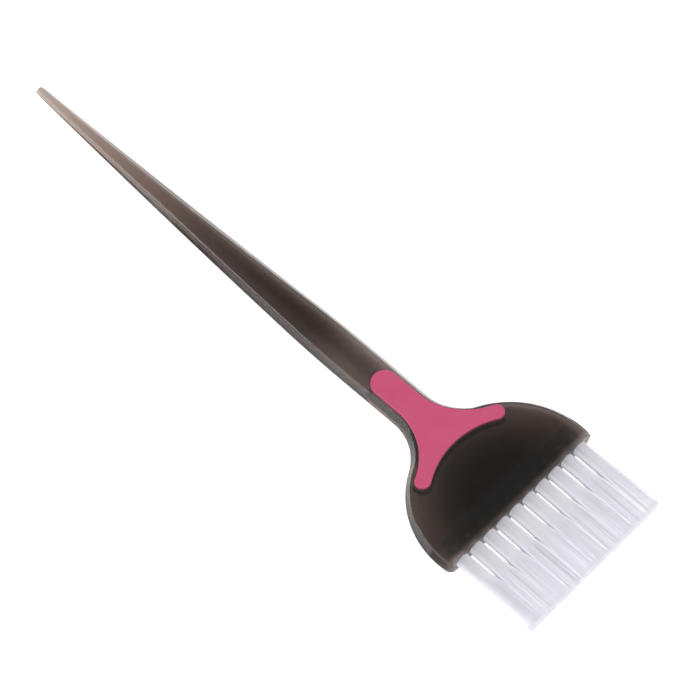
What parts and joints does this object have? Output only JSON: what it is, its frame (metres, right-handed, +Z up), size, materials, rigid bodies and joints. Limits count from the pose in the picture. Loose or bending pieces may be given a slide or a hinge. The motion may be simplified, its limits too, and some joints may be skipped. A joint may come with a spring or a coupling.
{
  "type": "tint brush",
  "caption": "Hair colouring brush with a slim tail handle, a half-moon head, a soft Y-shaped grip pad on each face and one straight row of flexible bristle tufts.",
  "frame": {"origin": "on the surface that the brush lies on, below the middle of its length and width", "axes": "+X from the tail towards the bristle ends, +Y across the head, +Z up out of the front face"},
  "size_m": [0.2275, 0.0574, 0.009],
  "materials": {
    "smoky_plastic": "satin, smoky brown, translucent where it is thin",
    "soft_rubber": "matte soft touch, pink",
    "nylon_filament": "fine white filaments, slightly glossy",
    "anchor_wire": "drawn flat wire"
  },
  "bodies": {
    "handle": {"handle_body": "smoky_plastic", "front_grip_pad": "soft_rubber", "back_grip_pad": "soft_rubber", "anchor_01": "anchor_wire", "anchor_02": "anchor_wire", "anchor_03": "anchor_wire", "anchor_04": "anchor_wire", "anchor_05": "anchor_wire", "anchor_06": "anchor_wire", "anchor_07": "anchor_wire", "anchor_08": "anchor_wire", "anchor_09": "anchor_wire", "anchor_10": "anchor_wire", "tuft_root_01": "nylon_filament", "tuft_root_02": "nylon_filament", "tuft_root_03": "nylon_filament", "tuft_root_04": "nylon_filament", "tuft_root_05": "nylon_filament", "tuft_root_06": "nylon_filament", "tuft_root_07": "nylon_filament", "tuft_root_08": "nylon_filament", "tuft_root_09": "nylon_filament", "tuft_root_10": "nylon_filament"},
    "bristles_01": {"tuft_01": "nylon_filament"},
    "bristles_02": {"tuft_02": "nylon_filament"},
    "bristles_03": {"tuft_03": "nylon_filament"},
    "bristles_04": {"tuft_04": "nylon_filament"},
    "bristles_05": {"tuft_05": "nylon_filament"},
    "bristles_06": {"tuft_06": "nylon_filament"},
    "bristles_07": {"tuft_07": "nylon_filament"},
    "bristles_08": {"tuft_08": "nylon_filament"},
    "bristles_09": {"tuft_09": "nylon_filament"},
    "bristles_10": {"tuft_10": "nylon_filament"}
  },
  "joints": [
    {"name": "tuft_01_flex", "type": "hinge", "parent": "handle", "child": "bristles_01", "pos_m": [0.08875, -0.02318, 0.0032], "axis": [0, 1, 0], "range_deg": [-35, 35], "stiffness_Nm_per_rad": 0.008},
    {"name": "tuft_02_flex", "type": "hinge", "parent": "handle", "child": "bristles_02", "pos_m": [0.08875, -0.01802, 0.0032], "axis": [0, 1, 0], "range_deg": [-35, 35], "stiffness_Nm_per_rad": 0.008},
    {"name": "tuft_03_flex", "type": "hinge", "parent": "handle", "child": "bristles_03", "pos_m": [0.08875, -0.01287, 0.0032], "axis": [0, 1, 0], "range_deg": [-35, 35], "stiffness_Nm_per_rad": 0.008},
    {"name": "tuft_04_flex", "type": "hinge", "parent": "handle", "child": "bristles_04", "pos_m": [0.08875, -0.00773, 0.0032], "axis": [0, 1, 0], "range_deg": [-35, 35], "stiffness_Nm_per_rad": 0.008},
    {"name": "tuft_05_flex", "type": "hinge", "parent": "handle", "child": "bristles_05", "pos_m": [0.08875, -0.00258, 0.0032], "axis": [0, 1, 0], "range_deg": [-35, 35], "stiffness_Nm_per_rad": 0.008},
    {"name": "tuft_06_flex", "type": "hinge", "parent": "handle", "child": "bristles_06", "pos_m": [0.08875, 0.00258, 0.0032], "axis": [0, 1, 0], "range_deg": [-35, 35], "stiffness_Nm_per_rad": 0.008},
    {"name": "tuft_07_flex", "type": "hinge", "parent": "handle", "child": "bristles_07", "pos_m": [0.08875, 0.00773, 0.0032], "axis": [0, 1, 0], "range_deg": [-35, 35], "stiffness_Nm_per_rad": 0.008},
    {"name": "tuft_08_flex", "type": "hinge", "parent": "handle", "child": "bristles_08", "pos_m": [0.08875, 0.01287, 0.0032], "axis": [0, 1, 0], "range_deg": [-35, 35], "stiffness_Nm_per_rad": 0.008},
    {"name": "tuft_09_flex", "type": "hinge", "parent": "handle", "child": "bristles_09", "pos_m": [0.08875, 0.01802, 0.0032], "axis": [0, 1, 0], "range_deg": [-35, 35], "stiffness_Nm_per_rad": 0.008},
    {"name": "tuft_10_flex", "type": "hinge", "parent": "handle", "child": "bristles_10", "pos_m": [0.08875, 0.02318, 0.0032], "axis": [0, 1, 0], "range_deg": [-35, 35], "stiffness_Nm_per_rad": 0.008}
  ]
}
